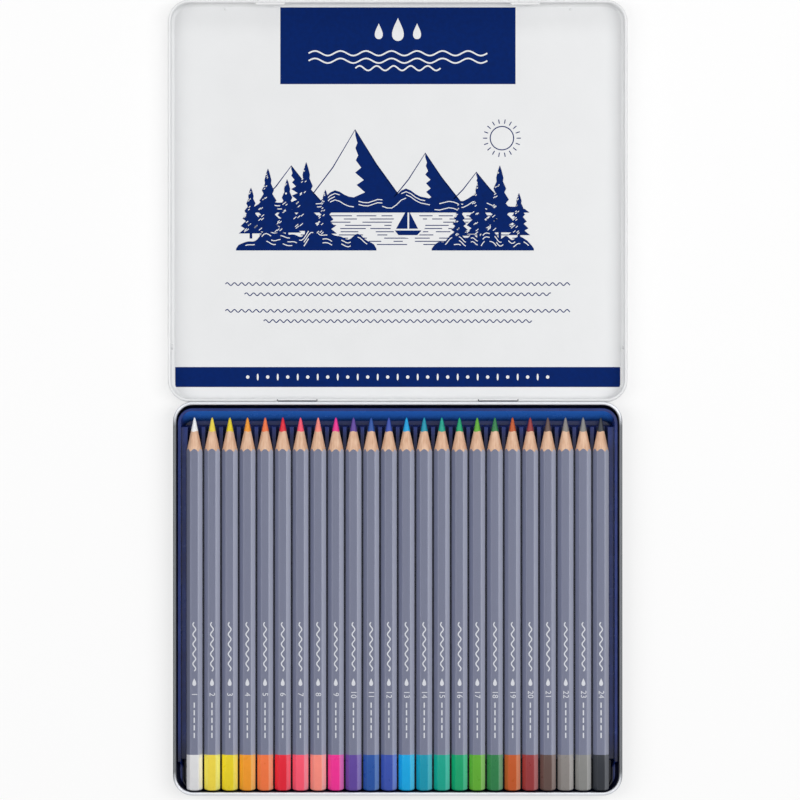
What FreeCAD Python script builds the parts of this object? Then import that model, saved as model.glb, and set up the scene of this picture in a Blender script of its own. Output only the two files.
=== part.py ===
import FreeCAD, Part
import math
import os
import re

import Sketcher

# Watercolour pencil set: a hinged tin, lying open, with a tray of pencils in its base.
# Millimetres. The origin is the centre of the base's underside, +Y runs to the hinge and the open lid.

# Driving sizes
SIZES = {
    # Pencils
    "pencil_count": "24",
    "pencil_length": "175",
    "pencil_flats": "6.7",
    "pencil_corner_ease": "0.37",
    "pencil_end_ease": "1.05",
    "pencil_gap": "0.915",
    "cone_length": "14.7",
    "tip_radius": "0.4",
    "lead_diameter": "3.3",
    "lead_glue_gap": "0.03",
    "lead_end_cover": "1.2",
    "wood_edge": "0.08",
    # Where the pencils lie in the tin
    "pencil_floor": "3.6",
    "pencil_end_gap": "0.4",
    "pencil_tip_room": "5.9",
    # Base tin
    "tin_sheet": "0.3",
    "base_bead": "1.65",
    "base_corner": "9.2",
    "base_floor_ease": "1.6",
    "rim_drop": "0.3",
    # Lid tin
    "lid_side_gap": "0.95",
    "lid_front_gap": "1",
    "lid_bead": "1.6",
    "lid_corner": "10.3",
    "lid_panel_round": "2.9",
    "lid_headroom": "3.4",
    # Snap nibs on the front rim, dimples in the side walls and pips on the panel
    "nib_length": "15",
    "nib_height": "0.9",
    "nib_spacing": "119.5",
    "nib_clear": "0.15",
    "dimple_diameter": "2.6",
    "dimple_setback": "25",
    "dimple_clear": "0.25",
    "pip_diameter": "0.9",
    "pip_height": "0.25",
    "pip_spacing": "162.4",
    "pip_setback": "4",
    # Hinge
    "hinge_offset": "0.6",
    "hinge_spacing": "94.2",
    "tongue_width": "18",
    "tongue_turn": "190",
    "notch_gap": "0.5",
    "notch_drop": "1.3",
    "wire_clear": "0.05",
    "wire_grip": "6",
    # Tray
    "tray_sheet": "0.5",
    "tray_seat_gap": "0.05",
    "tray_side_room": "1.3",
    "tray_side_draft": "1.5",
    "tray_side_gap": "0.6",
    "tray_rear_gap": "1.55",
    "tray_rear_slope": "4.6",
    "tray_front_gap": "0.4",
    "tray_front_draft": "1.2",
    "tray_flange": "1.3",
    "tray_floor_corner": "4",
    "flange_drop": "1.8",
    "groove_clear": "0.1",
    "rib_height": "2.2",
    "bed_draft": "1",
    "trough_length": "1.9",
    "well_length": "14",
    "front_lip": "2.4",
    "relief_slope": "3",
}

# Sizes that follow from the driving ones
FITS = {
    "pencil_round": "pencil_flats / 2 / cos(30)",
    "pencil_corners": "2 * pencil_round - pencil_corner_ease",
    "pencil_pitch": "pencil_corners + pencil_gap",
    "row_end": "(pencil_count - 1) / 2 * pencil_pitch",
    "row_half": "row_end + pencil_corners / 2",
    "pencil_axis": "pencil_floor + pencil_flats / 2",
    "cone_slope": "cone_length / (pencil_flats / 2 - tip_radius)",
    "cone_top": "pencil_length + cone_slope * tip_radius",
    "lead_radius": "lead_diameter / 2",
    "bore_radius": "lead_radius + lead_glue_gap",
    "wood_end_radius": "bore_radius + wood_edge",
    "wood_top": "cone_top - cone_slope * wood_end_radius",
    "lead_bare": "cone_top - cone_slope * lead_radius",
    "lead_foot": "lead_end_cover + lead_glue_gap",
    # Base
    "tray_floor_half": "row_half + tray_side_room",
    "tray_mouth_half": "tray_floor_half + tray_side_draft",
    "flange_half": "tray_mouth_half + tray_flange",
    "base_in_half": "flange_half + tray_side_gap",
    "base_in_depth": "(pencil_end_gap + pencil_length + pencil_tip_room) / 2",
    "base_half": "base_in_half + base_bead",
    "base_half_depth": "base_in_depth + base_bead",
    "base_height": "pencil_floor + pencil_flats - rim_drop",
    "base_bead_radius": "base_bead / 2",
    "base_in_corner": "base_corner - base_bead",
    "pencil_end": "pencil_end_gap - base_in_depth",
    # Lid, lying open
    "lid_bead_radius": "lid_bead / 2",
    "hinge_y": "base_half_depth + hinge_offset",
    "hinge_z": "(pencil_floor + pencil_flats + lid_headroom + tin_sheet) / 2",
    "hinge_x": "hinge_spacing / 2",
    "lid_half": "base_half + lid_side_gap + lid_bead",
    "lid_rear": "hinge_y - lid_bead_radius",
    "lid_front": "hinge_y + hinge_offset + 2 * base_half_depth + lid_front_gap + lid_bead",
    "roll_bore": "lid_bead_radius - tin_sheet",
    "wire_radius": "roll_bore - wire_clear",
    "notch_width": "tongue_width + 2 * notch_gap",
    "wire_length": "notch_width + 2 * wire_grip",
    "tongue_strip": "hinge_y - base_in_depth - tin_sheet"
    " + (lid_bead_radius - tin_sheet / 2) * tongue_turn * pi / 180",
    # Tray
    "tray_bottom": "tin_sheet + tray_seat_gap",
    "tray_floor": "tray_bottom + tray_sheet",
    "flange_top": "base_height - flange_drop",
    "flange_under": "flange_top - tray_sheet",
    "tray_rear": "base_in_depth - tray_rear_gap",
    "tray_mouth_rear": "tray_rear - tray_flange",
    "tray_floor_rear": "tray_mouth_rear - tray_rear_slope",
    "tray_front": "tray_front_gap - base_in_depth",
    "tray_foot_front": "tray_front + tray_front_draft",
    "flange_corner": "base_corner - base_bead - tray_side_gap",
    "tray_mouth_corner": "flange_corner - tray_flange",
    "rib_top": "pencil_floor + rib_height",
    "groove_floor": "pencil_floor - groove_clear",
    "groove_half": "(pencil_flats / 2 + groove_clear) * tan(30)",
    "bed_rear": "tray_floor_rear - trough_length",
    "bed_front": "tray_front + well_length",
    "bed_side": "tray_floor_half + tray_sheet / 2",
    "side_lean": "tray_side_draft / (flange_under - tray_bottom)",
    "bed_lean": "bed_draft / (rib_top - tray_bottom)",
    "hollow_top": "groove_floor - tray_sheet",
    "rib_foot": "pencil_pitch / 2 - groove_half",
    "rib_skin": "tray_sheet / cos(30)",
}

# What repeats, the rolled rims and the lid's pressed edge are drawn with flats, which keeps the set light.
LEAD_SIDES = 12
CONE_FLATS = 24
ROLL_STEP = 40
ROLL_END = 280
PRESS_STEP = 30

doc = FreeCAD.newDocument("PencilSet")
vector = FreeCAD.Vector


def fill_sheet(name, cells):
    """A sheet with one named cell for each size."""
    sheet = doc.addObject("Spreadsheet::Sheet", name)
    for row, (alias, content) in enumerate(cells.items(), start=1):
        sheet.set(f"A{row}", alias)
        sheet.set(f"B{row}", content)
        sheet.setAlias(f"B{row}", alias)
    return sheet


def read_from(names, formula):
    """The formula with each name in it read from its sheet."""
    return re.sub(r"[a-z]\w*", lambda word: names.get(word.group(), word.group()), formula)


PLACES = {alias: f"Sizes.{alias}" for alias in SIZES}
PLACES.update({alias: f"Fits.{alias}" for alias in FITS})

sizes = fill_sheet("Sizes", SIZES)
fits = fill_sheet("Fits", {alias: "=" + read_from(PLACES, formula) for alias, formula in FITS.items()})
doc.recompute()


def bind(thing, target, formula):
    """Tie one property of a document object to the sheets."""
    thing.setExpression(target, read_from(PLACES, formula))


def size(formula):
    """The present value of a formula."""
    return float(sizes.evalExpression(read_from(PLACES, formula)))


def own_plane(body, role):
    return next(plane for plane in body.Origin.OriginFeatures if plane.Role == role)


def new_body(label):
    body = doc.addObject("PartDesign::Body", label)
    body.Label = label
    return body


def new_sketch(body, name, role, offset="0"):
    """A sketch on one of the body's planes, moved along the plane's normal."""
    sketch = body.newObject("Sketcher::SketchObject", name)
    sketch.AttachmentSupport = (own_plane(body, role), [""])
    sketch.MapMode = "FlatFace"
    bind(sketch, "AttachmentOffset.Base.z", offset)
    return sketch


def fix(sketch, kind, formula, *points):
    """A dimension of a sketch, tied to the sheets."""
    number = sketch.addConstraint(Sketcher.Constraint(kind, *points, size(formula)))
    bind(sketch, f"Constraints[{number}]", formula)


def arc_about(centre, start, end, leftward):
    """The arc from start to end about the centre, and which of its ends is the start."""
    circle = Part.Circle(centre, vector(0, 0, 1), start.distanceToPoint(centre))
    first = math.atan2(start.y - centre.y, start.x - centre.x)
    last = math.atan2(end.y - centre.y, end.x - centre.x)
    if leftward:
        return Part.ArcOfCircle(circle, first, last), (1, 2)
    return Part.ArcOfCircle(circle, last, first), (2, 1)


def draw(sketch, corners):
    """A closed outline through the corners.

    A corner is (x, y), or (x, y, (centre x, centre y, radius, turn)) where an arc leads to the next one.
    """
    ends = []
    for index, corner in enumerate(corners):
        following = corners[(index + 1) % len(corners)]
        start = vector(size(corner[0]), size(corner[1]), 0)
        end = vector(size(following[0]), size(following[1]), 0)
        if len(corner) == 2:
            number = sketch.addGeometry(Part.LineSegment(start, end))
            first, last = 1, 2
        else:
            middle_x, middle_y, radius, turn = corner[2]
            middle = vector(size(middle_x), size(middle_y), 0)
            arc, (first, last) = arc_about(middle, start, end, turn == "left")
            number = sketch.addGeometry(arc)
            fix(sketch, "Radius", radius, number)
        fix(sketch, "DistanceX", corner[0], -1, 1, number, first)
        fix(sketch, "DistanceY", corner[1], -1, 1, number, first)
        ends.append((number, first, last))
    for (number, _, last), (after, first, _) in zip(ends, ends[1:] + ends[:1]):
        sketch.addConstraint(Sketcher.Constraint("Coincident", number, last, after, first))
    return sketch


def draw_circle(sketch, x, y, radius):
    circle = Part.Circle(vector(size(x), size(y), 0), vector(0, 0, 1), size(radius))
    number = sketch.addGeometry(circle)
    fix(sketch, "Radius", radius, number)
    fix(sketch, "DistanceX", x, -1, 1, number, 3)
    fix(sketch, "DistanceY", y, -1, 1, number, 3)
    return sketch


def rectangle(left, right, low, high):
    return [(left, low), (right, low), (right, high), (left, high)]


def rounded_box(half, low, high, radius):
    """A rectangle about x = 0 with round corners, clockwise from the middle of its high side."""
    x = f"({half}) - ({radius})"
    far = f"({high}) - ({radius})"
    near = f"({low}) + ({radius})"
    return [
        ("0", high),
        (x, high, (x, far, radius, "right")),
        (half, far),
        (half, near, (x, near, radius, "right")),
        (x, low),
        (f"-({x})", low, (f"-({x})", near, radius, "right")),
        (f"-({half})", near),
        (f"-({half})", far, (f"-({x})", far, radius, "right")),
        (f"-({x})", high),
    ]


def feature(body, kind, name, sketch):
    made = body.newObject("PartDesign::" + kind, name)
    made.Profile = sketch
    return made


def pad(body, name, sketch, length, symmetric=False, reverse=False):
    made = feature(body, "Pad", name, sketch)
    made.SideType = "Symmetric" if symmetric else "One side"
    made.Reversed = reverse
    bind(made, "Length", length)
    return made


def pocket(body, name, sketch, length=None, symmetric=False, reverse=False):
    """A cut of the given length, or right through where there is none."""
    made = feature(body, "Pocket", name, sketch)
    made.SideType = "Symmetric" if symmetric else "One side"
    made.Reversed = reverse
    if length is None:
        made.Type = "ThroughAll"
    else:
        bind(made, "Length", length)
    return made


def loft(body, kind, name, lower, upper):
    made = feature(body, kind, name, lower)
    made.Sections = [upper]
    made.Ruled = True
    return made


def sweep(body, name, section, path):
    made = feature(body, "AdditivePipe", name, section)
    made.Spine = path
    return made


def mirror(body, name, originals):
    """The same features on the other side of the tin's middle."""
    made = body.newObject("PartDesign::Mirrored", name)
    made.Originals = originals
    made.MirrorPlane = (own_plane(body, "YZ_Plane"), [""])
    body.Tip = made
    return made


def row_of(body, name, original, sketch, count):
    """The same feature for each pencil along the row."""
    made = body.newObject("PartDesign::LinearPattern", name)
    made.Originals = [original]
    made.Direction = (sketch, ["H_Axis"])
    made.Mode = "Spacing"
    bind(made, "Offset", "pencil_pitch")
    bind(made, "Occurrences", count)
    body.Tip = made
    return made


def roll(inner, height, radius, side):
    """Corners of a rolled rim, from the wall's face over the top and round to the underside.

    The rim rolls away from the face at inner, towards plus or minus Y as side says.
    """
    corners = []
    for turn in range(0, ROLL_END + 1, ROLL_STEP):
        y = f"{inner} {side} {radius} * (1 - cos({turn}))"
        corners.append((y, f"{height} + {radius} * sin({turn})"))
    return corners


def roll_foot(height, radius):
    """Where the underside of a roll meets the other face of its wall."""
    return f"{height} - sqrt({radius} ^ 2 - ({radius} - tin_sheet) ^ 2)"


def pressed_edge(middle, radius):
    """Corners of the lid's pressed edge, from its panel up to its wall, about a point on the given Y."""
    corners = []
    for turn in range(0, 91, PRESS_STEP):
        y = f"{middle} + ({radius}) * sin({turn})"
        corners.append((y, f"lid_panel_round - ({radius}) * cos({turn})"))
    return corners


def base_tin():
    """A drawn pan whose rim rolls outward, with two hinge tongues lanced from its rear wall."""
    body = new_body("base_tin")
    inside = rounded_box("base_in_half", "-base_in_depth", "base_in_depth", "base_in_corner")
    path = draw(new_sketch(body, "base_rim_path", "XY_Plane"), inside)
    roll_height = "(base_height - base_bead_radius)"
    wall_out = "base_in_depth + tin_sheet"
    bend = "tin_sheet * tan(22.5)"
    plate_edge = f"{wall_out} - base_floor_ease - {bend}"
    section = [
        (plate_edge, "0"),
        (f"{wall_out} - base_floor_ease", "0"),
        (wall_out, "base_floor_ease"),
        (wall_out, roll_foot(roll_height, "base_bead_radius")),
        *reversed(roll("base_in_depth", roll_height, "base_bead_radius", "+")),
        ("base_in_depth", f"base_floor_ease + {bend}"),
        (plate_edge, "tin_sheet"),
    ]
    wall = draw(new_sketch(body, "base_wall_section", "YZ_Plane"), section)
    sweep(body, "base_wall", wall, path)
    inset = f"(tin_sheet - base_floor_ease - {bend})"
    plate_depth = f"base_in_depth + {inset}"
    plate = rounded_box(
        f"base_in_half + {inset}", f"-({plate_depth})", plate_depth, f"base_in_corner + {inset}"
    )
    floor = draw(new_sketch(body, "base_floor_outline", "XY_Plane"), plate)
    pad(body, "base_floor", floor, "tin_sheet")

    # The tongue's strip is lanced out of the wall below it, bent outward and curled round the wire.
    low = "hinge_z - lid_bead_radius"
    window_half = "notch_width / 2"
    window = new_sketch(body, "tongue_window_outline", "XZ_Plane")
    draw(
        window,
        rectangle(f"hinge_x - {window_half}", f"hinge_x + {window_half}", f"{low} - tongue_strip", low),
    )
    opening = pocket(body, "tongue_window", window)
    end_y = "cos(tongue_turn - 90)"
    end_z = "sin(tongue_turn - 90)"
    tongue_section = [
        ("base_in_depth", low),
        ("hinge_y", low, ("hinge_y", "hinge_z", "lid_bead_radius", "left")),
        (f"hinge_y + lid_bead_radius * {end_y}", f"hinge_z + lid_bead_radius * {end_z}"),
        (
            f"hinge_y + roll_bore * {end_y}",
            f"hinge_z + roll_bore * {end_z}",
            ("hinge_y", "hinge_z", "roll_bore", "right"),
        ),
        ("hinge_y", "hinge_z - roll_bore"),
        ("base_in_depth", "hinge_z - roll_bore"),
    ]
    tongue = draw(new_sketch(body, "tongue_section", "YZ_Plane", "hinge_x"), tongue_section)
    knuckle = pad(body, "tongue", tongue, "tongue_width", symmetric=True)
    mirror(body, "other_tongue", [opening, knuckle])
    return body


def lid_tin():
    """A drawn pan, lying open on its back, whose rim rolls inward and holds the hinge wires."""
    body = new_body("lid_tin")
    outline = rounded_box("lid_half", "lid_rear", "lid_front", "lid_corner")
    path = draw(new_sketch(body, "lid_rim_path", "XY_Plane"), outline)
    plate_edge = "lid_front - lid_panel_round"
    wall_in = "lid_front - tin_sheet"
    section = [
        *pressed_edge(plate_edge, "lid_panel_round"),
        *roll("lid_front", "hinge_z", "lid_bead_radius", "-"),
        (wall_in, roll_foot("hinge_z", "lid_bead_radius")),
        *reversed(pressed_edge(plate_edge, "lid_panel_round - tin_sheet")),
    ]
    wall = draw(new_sketch(body, "lid_wall_section", "YZ_Plane"), section)
    sweep(body, "lid_wall", wall, path)
    panel_outline = rounded_box(
        "lid_half - lid_panel_round",
        "lid_rear + lid_panel_round",
        "lid_front - lid_panel_round",
        "lid_corner - lid_panel_round",
    )
    panel = draw(new_sketch(body, "lid_panel_outline", "XY_Plane"), panel_outline)
    pad(body, "lid_panel", panel, "tin_sheet")

    # Notches in the rear rim take the base's tongues, and the rim is hollow beside them for the wire.
    notch = new_sketch(body, "hinge_notch_outline", "YZ_Plane", "hinge_x")
    draw(
        notch,
        rectangle(
            "lid_rear - tin_sheet",
            "lid_rear + lid_bead + tin_sheet",
            "hinge_z - notch_drop",
            "hinge_z + lid_bead",
        ),
    )
    gap = pocket(body, "hinge_notch", notch, "notch_width", symmetric=True)
    bore = new_sketch(body, "wire_bore_outline", "YZ_Plane", "hinge_x")
    draw_circle(bore, "hinge_y", "hinge_z", "roll_bore")
    hole = pocket(body, "wire_bore", bore, "wire_length", symmetric=True)
    mirror(body, "other_hinge", [gap, hole])

    # The nibs stop just short of the base's rim, which they snap past on the way shut.
    nib_root = "lid_front - lid_bead_radius"
    nib_end = "lid_front - lid_bead - lid_front_gap + nib_clear"
    nib_x = "nib_spacing / 2"
    nib_taper = "lid_front_gap"
    nib = new_sketch(body, "nib_outline", "XY_Plane", "hinge_z")
    draw(
        nib,
        [
            (f"{nib_x} - nib_length / 2", nib_root),
            (f"{nib_x} - nib_length / 2 + {nib_taper}", nib_end),
            (f"{nib_x} + nib_length / 2 - {nib_taper}", nib_end),
            (f"{nib_x} + nib_length / 2", nib_root),
        ],
    )
    snap = pad(body, "nib", nib, "nib_height", symmetric=True)
    dimple = new_sketch(body, "dimple_outline", "YZ_Plane", "lid_half - tin_sheet")
    dimple_z = "(lid_panel_round + hinge_z - lid_bead_radius) / 2"
    draw_circle(dimple, "hinge_y + dimple_setback", dimple_z, "dimple_diameter / 2")
    dimple_reach = "lid_side_gap + lid_bead - tin_sheet - dimple_clear"
    press = pad(body, "dimple", dimple, dimple_reach, reverse=True)
    pip = new_sketch(body, "pip_outline", "XY_Plane", "tin_sheet")
    draw_circle(pip, "pip_spacing / 2", "lid_front - pip_setback", "pip_diameter / 2")
    dot = pad(body, "pip", pip, "pip_height")
    mirror(body, "other_presses", [snap, press, dot])
    return body


def hinge_wire(side, sign):
    """A short wire on the hinge axis, through the lid's roll and the base's tongue."""
    wire = doc.addObject("Part::Cylinder", f"hinge_wire_{side}")
    wire.Label = f"hinge_wire_{side}"
    bind(wire, "Radius", "wire_radius")
    bind(wire, "Height", "wire_length")
    wire.Placement = FreeCAD.Placement(vector(0, 0, 0), FreeCAD.Rotation(vector(0, 1, 0), 90))
    bind(wire, "Placement.Base.x", f"{sign} hinge_x - wire_length / 2")
    bind(wire, "Placement.Base.y", "hinge_y")
    bind(wire, "Placement.Base.z", "hinge_z")
    return wire


def tray():
    """A formed sheet: a flanged pan with a raised, grooved bed for the pencils."""
    body = new_body("tray")
    pan_foot = rounded_box(
        "tray_floor_half + tray_sheet", "tray_foot_front", "tray_floor_rear + tray_sheet", "tray_floor_corner"
    )
    pan_mouth = rounded_box(
        "tray_mouth_half + tray_sheet", "tray_front", "tray_mouth_rear + tray_sheet", "tray_mouth_corner"
    )
    foot = draw(new_sketch(body, "pan_foot", "XY_Plane", "tray_bottom"), pan_foot)
    mouth = draw(new_sketch(body, "pan_mouth", "XY_Plane", "flange_under"), pan_mouth)
    loft(body, "AdditiveLoft", "pan", foot, mouth)
    flange_outline = rounded_box("flange_half", "tray_front", "tray_rear", "flange_corner")
    flange = draw(new_sketch(body, "flange_outline", "XY_Plane", "flange_under"), flange_outline)
    pad(body, "flange", flange, "tray_sheet")
    hollow_foot = rounded_box(
        "tray_floor_half", "tray_foot_front + tray_sheet", "tray_floor_rear", "tray_floor_corner"
    )
    hollow_mouth = rounded_box(
        "tray_mouth_half", "tray_front + tray_sheet", "tray_mouth_rear", "tray_mouth_corner"
    )
    low = draw(new_sketch(body, "hollow_foot", "XY_Plane", "tray_floor"), hollow_foot)
    high = draw(new_sketch(body, "hollow_mouth", "XY_Plane", "flange_top"), hollow_mouth)
    loft(body, "SubtractiveLoft", "hollow", low, high)

    # The bed stands up from the floor, with its ends drawn in.
    top_side = "bed_side + side_lean * (rib_top - tray_bottom)"
    bed_foot = rectangle("-bed_side", "bed_side", "bed_front", "bed_rear")
    bed_top = rectangle(f"-({top_side})", top_side, "bed_front + bed_draft", "bed_rear - bed_draft")
    low = draw(new_sketch(body, "bed_foot", "XY_Plane", "tray_bottom"), bed_foot)
    high = draw(new_sketch(body, "bed_top", "XY_Plane", "rib_top"), bed_top)
    loft(body, "AdditiveLoft", "bed", low, high)

    # Each groove follows the underside of its pencil.
    mouth_half = "groove_half + (flange_top - groove_floor) * tan(30)"
    groove = new_sketch(body, "groove_section", "XZ_Plane", "-bed_front")
    draw(
        groove,
        [
            ("-row_end - groove_half", "groove_floor"),
            ("-row_end + groove_half", "groove_floor"),
            (f"-row_end + {mouth_half}", "flange_top"),
            (f"-row_end - ({mouth_half})", "flange_top"),
        ],
    )
    cut = pocket(body, "groove", groove, "bed_rear - bed_front")
    row_of(body, "grooves", cut, groove, "pencil_count")

    # The sheet is as thin under the bed as elsewhere, so the bed and its ribs are hollow below.
    under_side = "bed_side - tray_sheet"
    under_rise = "(hollow_top - tray_bottom)"
    under_top_side = f"{under_side} + side_lean * {under_rise}"
    under_front = "bed_front + tray_sheet"
    under_rear = "bed_rear - tray_sheet"
    under_foot = rectangle(f"-({under_side})", under_side, under_front, under_rear)
    under_top = rectangle(
        f"-({under_top_side})",
        under_top_side,
        f"{under_front} + bed_lean * {under_rise}",
        f"{under_rear} - bed_lean * {under_rise}",
    )
    low = draw(new_sketch(body, "under_foot", "XY_Plane", "tray_bottom"), under_foot)
    high = draw(new_sketch(body, "under_top", "XY_Plane", "hollow_top"), under_top)
    loft(body, "SubtractiveLoft", "under_bed", low, high)
    rib_x = "pencil_pitch / 2 - row_end"
    rib_low = "rib_foot + tray_sheet * tan(30) - rib_skin"
    rib_high = "rib_foot - (rib_top - tray_sheet - groove_floor) * tan(30) - rib_skin"
    rib = new_sketch(body, "rib_section", "XZ_Plane", "-bed_front - tray_sheet - bed_draft")
    draw(
        rib,
        [
            (f"{rib_x} - ({rib_low})", "hollow_top"),
            (f"{rib_x} + {rib_low}", "hollow_top"),
            (f"{rib_x} + {rib_high}", "rib_top - tray_sheet"),
            (f"{rib_x} - ({rib_high})", "rib_top - tray_sheet"),
        ],
    )
    rib_length = "bed_rear - bed_front - 2 * tray_sheet - 2 * bed_draft"
    cut = pocket(body, "rib_hollow", rib, rib_length)
    row_of(body, "rib_hollows", cut, rib, "pencil_count - 1")

    # The walls and the flange slope down to a low lip in front of the bed.
    relief = new_sketch(body, "front_relief_outline", "YZ_Plane")
    clear_front = "tray_front - tray_sheet"
    clear_top = "flange_top + tray_sheet"
    draw(
        relief,
        [
            (clear_front, "front_lip"),
            ("bed_front - relief_slope", "front_lip"),
            ("bed_front", clear_top),
            (clear_front, clear_top),
        ],
    )
    pocket(body, "front_relief", relief, symmetric=True)
    return body


def edges_where(made, test):
    """Names of the edges of a feature's shape that pass a test."""
    return [f"Edge{number}" for number, edge in enumerate(made.Shape.Edges, start=1) if test(edge)]


def chamfer(body, name, base, edges, amount, other_amount=None):
    made = body.newObject("PartDesign::Chamfer", name)
    made.Base = (base, edges)
    bind(made, "Size", amount)
    if other_amount is not None:
        made.ChamferType = "Two distances"
        bind(made, "Size2", other_amount)
    doc.recompute()
    return made


def upright(edge):
    """Whether an edge runs along its pencil."""
    first, last = edge.Vertexes[0].Point, edge.Vertexes[-1].Point
    return abs(first.z - last.z) > abs(first.x - last.x) + abs(first.y - last.y)


def at_foot(edge):
    """Whether an edge lies in the end face of its pencil."""
    return edge.BoundBox.ZMax < edge.BoundBox.DiagonalLength * 1e-3


def at_top(edge):
    """Whether an edge lies in the tip face of its pencil."""
    return edge.BoundBox.ZMin > size("pencil_length / 2")


def stick(body, kind, name, sides, radius, start, length):
    """A straight bar, or a bore, along a pencil's length."""
    made = body.newObject("PartDesign::" + kind, name)
    made.Polygon = sides
    made.AttachmentSupport = (own_plane(body, "XY_Plane"), [""])
    made.MapMode = "FlatFace"
    bind(made, "AttachmentOffset.Base.z", start)
    bind(made, "Circumradius", radius)
    bind(made, "Height", length)
    doc.recompute()
    return made


def cone_form():
    """The space that the sharpener leaves: a bar wider than the wood, cut to a cone at the tip."""
    body = new_body("cone_form")
    bar = stick(body, "AdditivePrism", "bar", CONE_FLATS, "pencil_flats", "0", "wood_top")
    narrowing = f"(pencil_flats - wood_end_radius) * cos({180 / CONE_FLATS})"
    rise = "cone_slope * (pencil_flats - wood_end_radius)"
    chamfer(body, "cone", bar, edges_where(bar, at_top), rise, narrowing)
    return body


def barrel_form():
    """Six-sided wood, upright from its dipped end to where the sharpened cone bares the lead."""
    body = new_body("barrel_form")
    stem = stick(body, "AdditivePrism", "stem", 6, "pencil_round", "0", "wood_top")
    eased = chamfer(body, "eased_corners", stem, edges_where(stem, upright), "pencil_corner_ease")
    chamfer(body, "eased_end", eased, edges_where(eased, at_foot), "pencil_end_ease")
    sharpened = body.newObject("PartDesign::Boolean", "sharpened")
    sharpened.Type = "Common"
    sharpened.setObjects([cone_form()])
    doc.recompute()
    stick(body, "SubtractivePrism", "lead_bore", LEAD_SIDES, "bore_radius", "lead_end_cover", "wood_top")
    return body


def lead_form():
    """The lead, sharpened with its barrel to a small blunt tip."""
    body = new_body("lead_form")
    core = stick(
        body, "AdditivePrism", "core", LEAD_SIDES, "lead_radius", "lead_foot", "pencil_length - lead_foot"
    )
    narrowing = f"(lead_radius - tip_radius) * cos({180 / LEAD_SIDES})"
    chamfer(body, "tip", core, edges_where(core, at_top), "pencil_length - lead_bare", narrowing)
    return body


def copy_in_groove(form, label, number):
    """One pencil's own copy of a form, laid along its groove with the tip towards the hinge."""
    body = new_body(label)
    copy = body.newObject("PartDesign::FeatureBase", "copy")
    copy.BaseFeature = form
    body.Tip = copy
    body.Placement = FreeCAD.Placement(vector(0, 0, 0), FreeCAD.Rotation(vector(1, 0, 0), -90))
    bind(body, "Placement.Base.x", f"{number - 1} * pencil_pitch - row_end")
    bind(body, "Placement.Base.y", "pencil_end")
    bind(body, "Placement.Base.z", "pencil_axis")
    return body


pieces = [base_tin(), lid_tin(), hinge_wire("left", "-"), hinge_wire("right", "+"), tray()]
wood = barrel_form()
core = lead_form()
for pencil in range(1, round(size("pencil_count")) + 1):
    pieces.append(copy_in_groove(wood, f"pencil_{pencil:02d}_barrel", pencil))
    pieces.append(copy_in_groove(core, f"pencil_{pencil:02d}_lead", pencil))
doc.recompute()

# Nothing is written unless every object is sound.
for thing in doc.Objects:
    if "Invalid" in thing.State or "Error" in thing.State:
        raise RuntimeError(f"{thing.Label} failed: {thing.State}")
for piece in pieces:
    if piece.Shape.isNull() or not piece.Shape.isValid():
        raise RuntimeError(f"{piece.Label} has no valid shape")
    if len(piece.Shape.Solids) != 1:
        raise RuntimeError(f"{piece.Label} is not one solid")

os.makedirs("parts", exist_ok=True)
for piece in pieces:
    piece.Shape.exportStep(f"parts/{piece.Label}.step")
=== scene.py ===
import math
import random

import bpy
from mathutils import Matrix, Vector


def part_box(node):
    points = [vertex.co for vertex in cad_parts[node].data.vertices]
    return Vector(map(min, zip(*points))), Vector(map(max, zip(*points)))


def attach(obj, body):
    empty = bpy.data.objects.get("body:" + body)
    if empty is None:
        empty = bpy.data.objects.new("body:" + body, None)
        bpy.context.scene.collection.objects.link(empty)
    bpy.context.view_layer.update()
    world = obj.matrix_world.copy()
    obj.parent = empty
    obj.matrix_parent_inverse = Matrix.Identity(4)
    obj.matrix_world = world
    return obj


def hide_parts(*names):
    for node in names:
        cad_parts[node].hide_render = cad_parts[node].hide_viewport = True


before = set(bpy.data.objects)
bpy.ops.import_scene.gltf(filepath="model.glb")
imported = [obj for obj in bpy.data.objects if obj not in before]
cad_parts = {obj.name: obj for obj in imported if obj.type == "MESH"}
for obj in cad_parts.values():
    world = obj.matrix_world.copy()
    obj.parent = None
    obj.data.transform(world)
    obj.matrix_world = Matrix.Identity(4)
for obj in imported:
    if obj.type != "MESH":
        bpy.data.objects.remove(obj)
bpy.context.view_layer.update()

MM = 0.001
PENCILS = 24

# Colours as they look on screen, 0 to 255, with pairs for the two ends of a finish

DIPS = [
    (222, 222, 224), (238, 214, 70), (232, 208, 30), (240, 152, 36), (240, 116, 62), (226, 26, 50),
    (250, 84, 110), (250, 140, 126), (240, 44, 146), (92, 64, 152), (28, 78, 158), (50, 76, 168),
    (0, 164, 224), (0, 146, 172), (0, 160, 136), (0, 158, 104), (92, 168, 44), (36, 120, 66),
    (190, 84, 30), (146, 48, 50), (92, 70, 64), (136, 131, 128), (133, 133, 131), (38, 42, 50),
]
WHITE_LEAD = (246, 247, 250)
LACQUER = (112, 116, 137)
NAVY = (0, 33, 98)
WHITE = (233, 234, 235)
FOIL = (218, 220, 227)
# Painted highlight: a pale tone for the lacquer's right flank, standing in for the lamp that lights it
LACQUER_PAINTED_HIGHLIGHT = (188, 192, 210)
CEDAR = (210, 164, 132), (234, 197, 168)
WIRE = (120, 121, 124), (150, 151, 154)
TIN = (116, 118, 123), (134, 136, 141)
# Painted shade: a darker tone for the tin's side rims
TIN_SIDE_RIM_PAINTED_SHADE = (88, 90, 93)
# Painted highlight: a pale tone for the tin's front and rear rims
TIN_END_RIM_PAINTED_HIGHLIGHT = (204, 206, 211)
# Painted shade: a dark tone for the tin where its surfaces stand close together
TIN_NARROW_PAINTED_SHADE = (38, 48, 96)
TRAY = (18, 35, 98), (25, 48, 118)
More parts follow.
